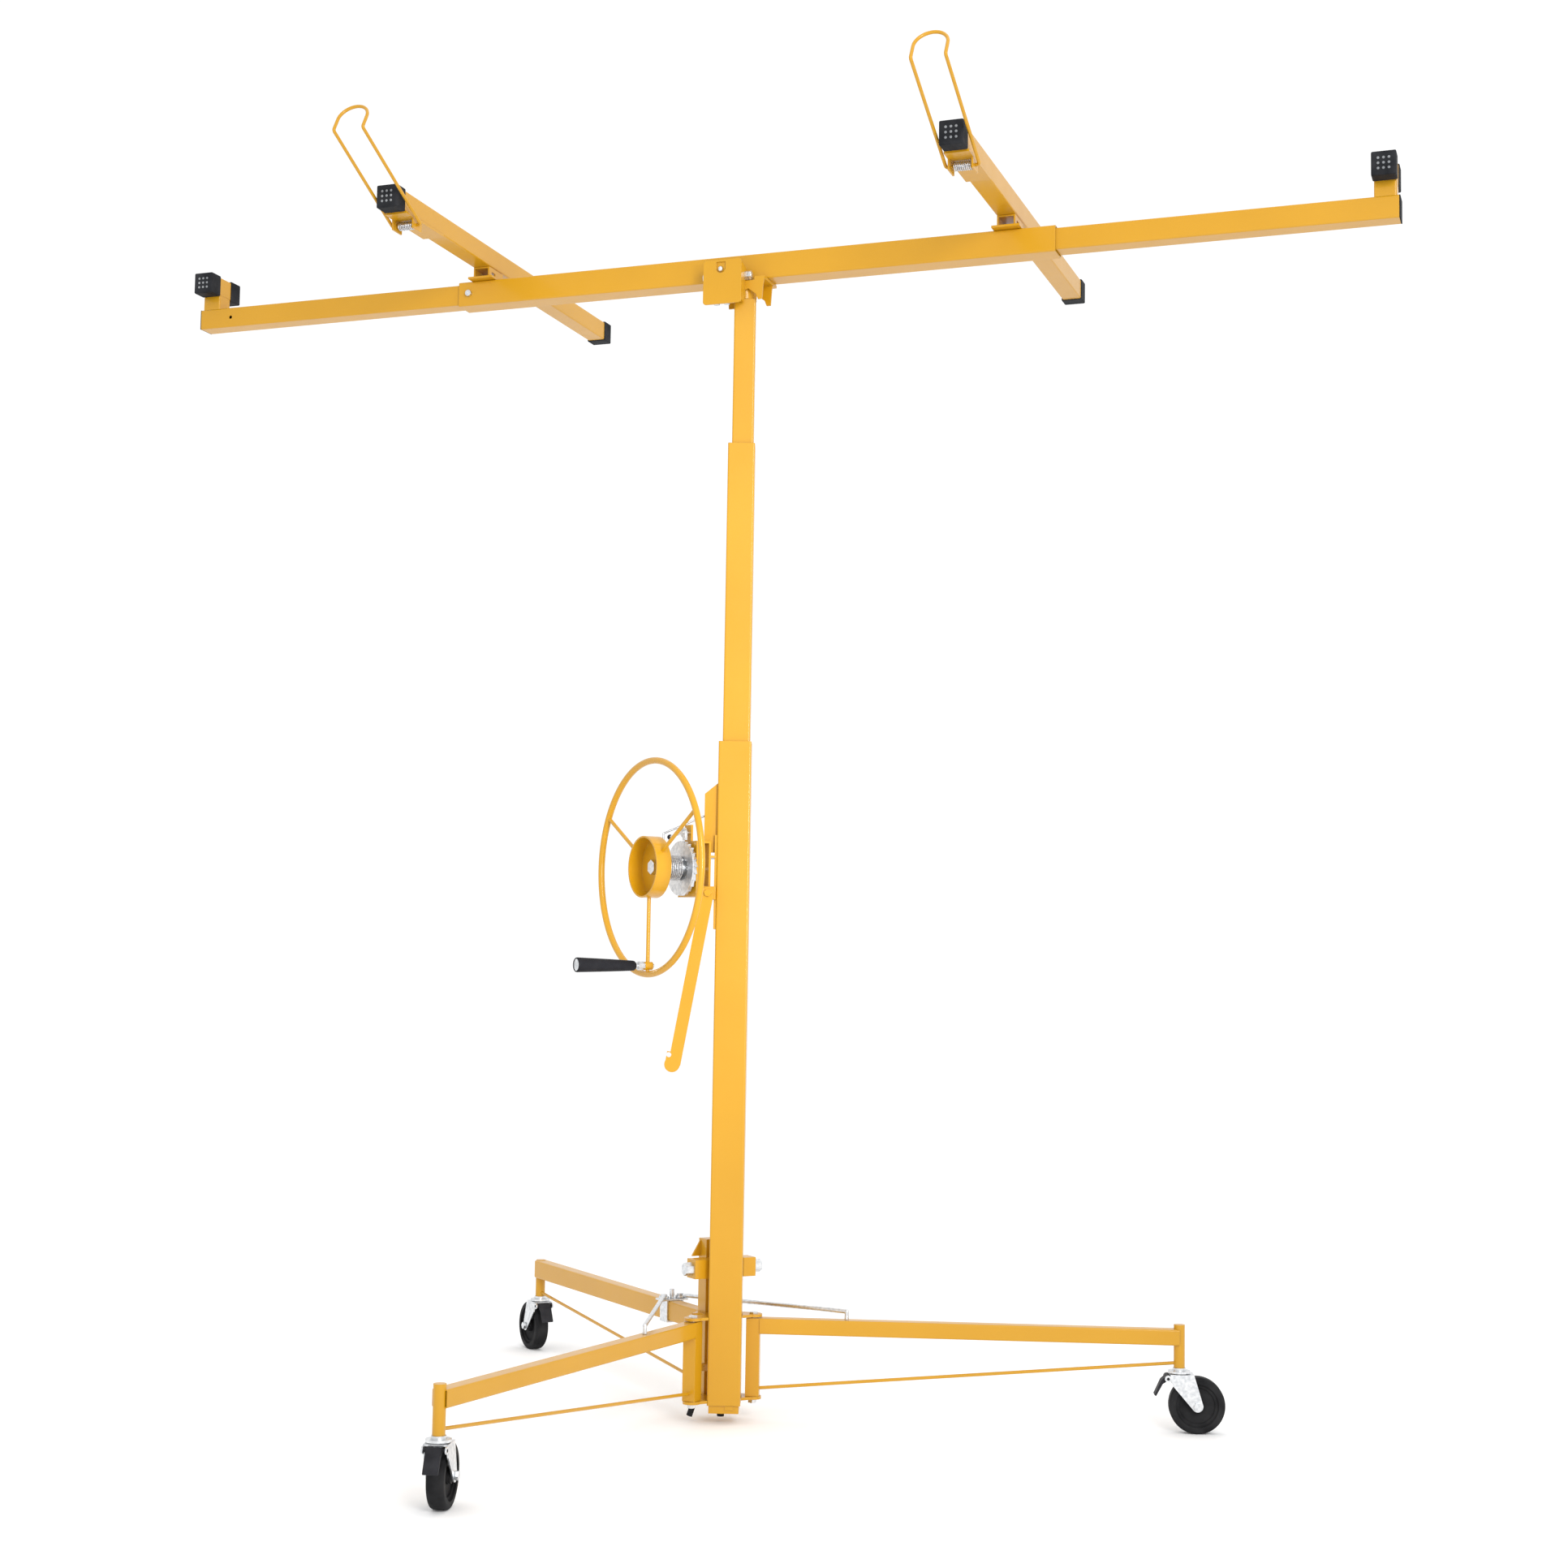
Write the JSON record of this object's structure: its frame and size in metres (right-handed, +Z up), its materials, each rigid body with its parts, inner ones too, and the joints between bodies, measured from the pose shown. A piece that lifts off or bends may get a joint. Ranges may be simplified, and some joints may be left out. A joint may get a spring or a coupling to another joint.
{
  "type": "drywall lift",
  "caption": "Drywall lift with a folding tripod on casters, a telescopic mast raised by a hand-wheel winch and a tilting cradle with cross arms.",
  "frame": {"origin": "on the floor under the centre of the bounding box", "axes": "+Z up, +X along the main beam, -Y towards the panel hooks"},
  "size_m": [2.392, 1.4658, 2.3235],
  "materials": {
    "yellow_paint": "satin golden yellow powder coat",
    "zinc_steel": "bright zinc plate",
    "spring_steel": "drawn wire",
    "steel_cable": "stranded wire rope",
    "black_rubber": "matt moulded rubber",
    "wheel_rubber": "matt black",
    "black_plastic": "matt moulded",
    "pedal_plastic": "matt moulded"
  },
  "bodies": {
    "tripod": {"tripod_hub": "yellow_paint", "mast_yoke": "yellow_paint", "tripod_bolts": "zinc_steel", "fixed_leg": "yellow_paint", "mast_outer": "yellow_paint", "mast_foot": "yellow_paint", "mast_foot_plug": "black_rubber", "winch_bracket": "yellow_paint", "lift_cable": "steel_cable", "caster_stem_rear": "zinc_steel"},
    "release_lever": {"release_lever": "yellow_paint", "release_lever_tip": "black_rubber"},
    "leg_right": {"leg_right": "yellow_paint", "caster_stem_right": "zinc_steel"},
    "leg_left": {"leg_left": "yellow_paint", "caster_stem_left": "zinc_steel"},
    "fold_slider": {"fold_slider": "zinc_steel"},
    "slider_lock_pin": {"slider_lock_pin": "zinc_steel"},
    "link_right": {"link_right": "zinc_steel"},
    "link_left": {"link_left": "zinc_steel"},
    "mast_middle": {"mast_middle": "yellow_paint", "lift_cable_upper": "steel_cable"},
    "mast_inner": {"mast_inner": "yellow_paint"},
    "winch": {"winch_wheel": "yellow_paint", "winch_drum": "zinc_steel", "winch_hardware": "zinc_steel", "cable_wrap": "steel_cable"},
    "crank_grip": {"crank_grip": "black_plastic"},
    "brake_pawl": {"brake_pawl": "zinc_steel", "brake_pawl_knob": "black_plastic"},
    "hook_bar": {"hook_bar": "yellow_paint"},
    "head": {"head_saddle": "yellow_paint", "tilt_box": "yellow_paint", "head_bolts": "zinc_steel"},
    "tilt_latch": {"tilt_latch": "zinc_steel"},
    "cradle": {"main_beam": "yellow_paint", "arm_pivots": "yellow_paint"},
    "caster_fork_right": {"caster_fork_right": "zinc_steel"},
    "caster_wheel_right": {"caster_wheel_right": "wheel_rubber"},
    "caster_pedal_right": {"caster_pedal_right": "pedal_plastic"},
    "caster_fork_left": {"caster_fork_left": "zinc_steel"},
    "caster_wheel_left": {"caster_wheel_left": "wheel_rubber"},
    "caster_pedal_left": {"caster_pedal_left": "pedal_plastic"},
    "caster_fork_rear": {"caster_fork_rear": "zinc_steel"},
    "caster_wheel_rear": {"caster_wheel_rear": "wheel_rubber"},
    "caster_pedal_rear": {"caster_pedal_rear": "pedal_plastic"},
    "outrigger_left": {"outrigger_left": "yellow_paint", "outrigger_caps_left": "black_rubber"},
    "outrigger_lock_left": {"outrigger_lock_left": "zinc_steel"},
    "cross_arm_left": {"cross_arm_left": "yellow_paint", "arm_caps_left": "black_rubber", "hook_spring_left": "spring_steel"},
    "panel_hook_left": {"panel_hook_left": "yellow_paint"},
    "outrigger_right": {"outrigger_right": "yellow_paint", "outrigger_caps_right": "black_rubber"},
    "outrigger_lock_right": {"outrigger_lock_right": "zinc_steel"},
    "cross_arm_right": {"cross_arm_right": "yellow_paint", "arm_caps_right": "black_rubber", "hook_spring_right": "spring_steel"},
    "panel_hook_right": {"panel_hook_right": "yellow_paint"}
  },
  "joints": [
    {"name": "leg_fold_right", "type": "hinge", "parent": "tripod", "child": "leg_right", "pos_m": [0.03805, 0.16962, 0], "axis": [0, 0, 1], "range_deg": [0, 123.5]},
    {"name": "leg_fold_left", "type": "hinge", "parent": "tripod", "child": "leg_left", "pos_m": [-0.0433, 0.07604, 0], "axis": [0, 0, 1], "range_deg": [-123.51, 0]},
    {"name": "fold_slide", "type": "slide", "parent": "tripod", "child": "fold_slider", "axis": [-0.7547, 0.6561, 0], "range_m": [0, 0.3143]},
    {"name": "slider_pin_pull", "type": "slide", "parent": "fold_slider", "child": "slider_lock_pin", "axis": [0, 0, 1], "range_m": [0, 0.005], "stiffness_N_per_m": 400, "springref_m": -0.002},
    {"name": "link_turn_right", "type": "hinge", "parent": "fold_slider", "child": "link_right", "pos_m": [-0.14996, 0.27343, 0], "axis": [0, 0, 1], "range_deg": [-24.38, 0]},
    {"name": "link_turn_left", "type": "hinge", "parent": "fold_slider", "child": "link_left", "pos_m": [-0.17227, 0.24777, 0], "axis": [0, 0, 1], "range_deg": [0, 24.38]},
    {"name": "caster_swivel_right", "type": "hinge", "parent": "leg_right", "child": "caster_fork_right", "pos_m": [0.77908, 0.37513, 0], "axis": [0, 0, 1], "continuous": true},
    {"name": "wheel_spin_right", "type": "hinge", "parent": "caster_fork_right", "child": "caster_wheel_right", "pos_m": [0.80896, 0.38341, 0.05], "axis": [-0.2672, 0.9636, 0], "continuous": true},
    {"name": "pedal_press_right", "type": "hinge", "parent": "caster_fork_right", "child": "caster_pedal_right", "pos_m": [0.75885, 0.36952, 0.097], "axis": [-0.2672, 0.9636, 0], "range_deg": [-10, 10]},
    {"name": "caster_swivel_left", "type": "hinge", "parent": "leg_left", "child": "caster_fork_left", "pos_m": [-0.14367, -0.68638, 0], "axis": [0, 0, 1], "continuous": true},
    {"name": "wheel_spin_left", "type": "hinge", "parent": "caster_fork_left", "child": "caster_wheel_left", "pos_m": [-0.15091, -0.65624, 0.05], "axis": [-0.9724, -0.2334, 0], "continuous": true},
    {"name": "pedal_press_left", "type": "hinge", "parent": "caster_fork_left", "child": "caster_pedal_left", "pos_m": [-0.13877, -0.7068, 0.097], "axis": [-0.9724, -0.2334, 0], "range_deg": [-10, 10]},
    {"name": "caster_swivel_rear", "type": "hinge", "parent": "tripod", "child": "caster_fork_rear", "pos_m": [-0.63356, 0.6713, 0], "axis": [0, 0, 1], "continuous": true},
    {"name": "wheel_spin_rear", "type": "hinge", "parent": "caster_fork_rear", "child": "caster_wheel_rear", "pos_m": [-0.65696, 0.69163, 0.05], "axis": [-0.6561, -0.7547, 0], "continuous": true},
    {"name": "pedal_press_rear", "type": "hinge", "parent": "caster_fork_rear", "child": "caster_pedal_rear", "pos_m": [-0.61771, 0.65752, 0.097], "axis": [-0.6561, -0.7547, 0], "range_deg": [-10, 10]},
    {"name": "mast_lift_middle", "type": "slide", "parent": "tripod", "child": "mast_middle", "axis": [0, 0, 1], "range_m": [-0.518, 0.45]},
    {"name": "mast_lift_inner", "type": "slide", "parent": "mast_middle", "child": "mast_inner", "axis": [0, 0, 1], "range_m": [-0.244, 0.684]},
    {"name": "winch_turn", "type": "hinge", "parent": "tripod", "child": "winch", "pos_m": [-0.12229, 0.02028, 0.998], "axis": [0.6293, 0.7771, 0], "range_deg": [-1295, 1126]},
    {"name": "crank_grip_spin", "type": "hinge", "parent": "winch", "child": "crank_grip", "pos_m": [-0.12229, 0.02028, 0.819], "axis": [0.6293, 0.7771, 0], "continuous": true},
    {"name": "brake_pawl_lift", "type": "hinge", "parent": "tripod", "child": "brake_pawl", "pos_m": [-0.12229, 0.02028, 1.064], "axis": [0.6293, 0.7771, 0], "range_deg": [-20, 0]},
    {"name": "hook_bar_swing", "type": "hinge", "parent": "tripod", "child": "hook_bar", "pos_m": [-0.02532, 0.06425, 0.953], "axis": [-0.3256, 0.9455, 0], "range_deg": [-10, 15]},
    {"name": "release_lever_press", "type": "hinge", "parent": "tripod", "child": "release_lever", "pos_m": [-0.03759, 0.12137, 0.096], "axis": [-0.3256, 0.9455, 0], "range_deg": [0, 5], "stiffness_Nm_per_rad": 3, "springref_deg": -1.72},
    {"name": "head_swivel", "type": "hinge", "parent": "mast_inner", "child": "head", "pos_m": [0.00378, 0.12715, 2], "axis": [0, 0, 1], "continuous": true},
    {"name": "cradle_tilt", "type": "hinge", "parent": "head", "child": "cradle", "pos_m": [0, 0.10185, 2.108], "axis": [1, 0, 0], "range_deg": [0, 60]},
    {"name": "tilt_latch_pull", "type": "slide", "parent": "head", "child": "tilt_latch", "axis": [0, -1, 0], "range_m": [0, 0.008], "stiffness_N_per_m": 400, "springref_m": -0.002},
    {"name": "outrigger_slide_left", "type": "slide", "parent": "cradle", "child": "outrigger_left", "axis": [1, 0, 0], "range_m": [0, 0.44]},
    {"name": "outrigger_lock_pull_left", "type": "slide", "parent": "cradle", "child": "outrigger_lock_left", "axis": [0, -1, 0], "range_m": [0, 0.006], "stiffness_N_per_m": 400, "springref_m": -0.002},
    {"name": "cross_arm_fold_left", "type": "hinge", "parent": "cradle", "child": "cross_arm_left", "pos_m": [-0.544, 0.14385, 0], "axis": [0, 0, 1], "range_deg": [-90, 0]},
    {"name": "panel_hook_swing_left", "type": "hinge", "parent": "cross_arm_left", "child": "panel_hook_left", "pos_m": [-0.544, -0.18615, 2.165], "axis": [1, 0, 0], "range_deg": [-45, 25], "stiffness_Nm_per_rad": 6, "springref_deg": -1.6},
    {"name": "outrigger_slide_right", "type": "slide", "parent": "cradle", "child": "outrigger_right", "axis": [-1, 0, 0], "range_m": [0, 0.44]},
    {"name": "outrigger_lock_pull_right", "type": "slide", "parent": "cradle", "child": "outrigger_lock_right", "axis": [0, 1, 0], "range_m": [0, 0.006], "stiffness_N_per_m": 400, "springref_m": -0.002},
    {"name": "cross_arm_fold_right", "type": "hinge", "parent": "cradle", "child": "cross_arm_right", "pos_m": [0.51, 0.14385, 0], "axis": [0, 0, 1], "range_deg": [-90, 0]},
    {"name": "panel_hook_swing_right", "type": "hinge", "parent": "cross_arm_right", "child": "panel_hook_right", "pos_m": [0.51, -0.18615, 2.165], "axis": [1, 0, 0], "range_deg": [-45, 25], "stiffness_Nm_per_rad": 6, "springref_deg": -1.6}
  ],
  "couplings": [
    {"joint": "leg_fold_left", "follows": "leg_fold_right", "ratio": -1},
    {"joint": "fold_slide", "follows": "leg_fold_right", "m_per_rad": 0.14558},
    {"joint": "link_turn_right", "follows": "leg_fold_right", "ratio": -0.197},
    {"joint": "link_turn_left", "follows": "leg_fold_right", "ratio": 0.197},
    {"joint": "winch_turn", "follows": "mast_lift_middle", "rad_per_m": 43.478}
  ]
}
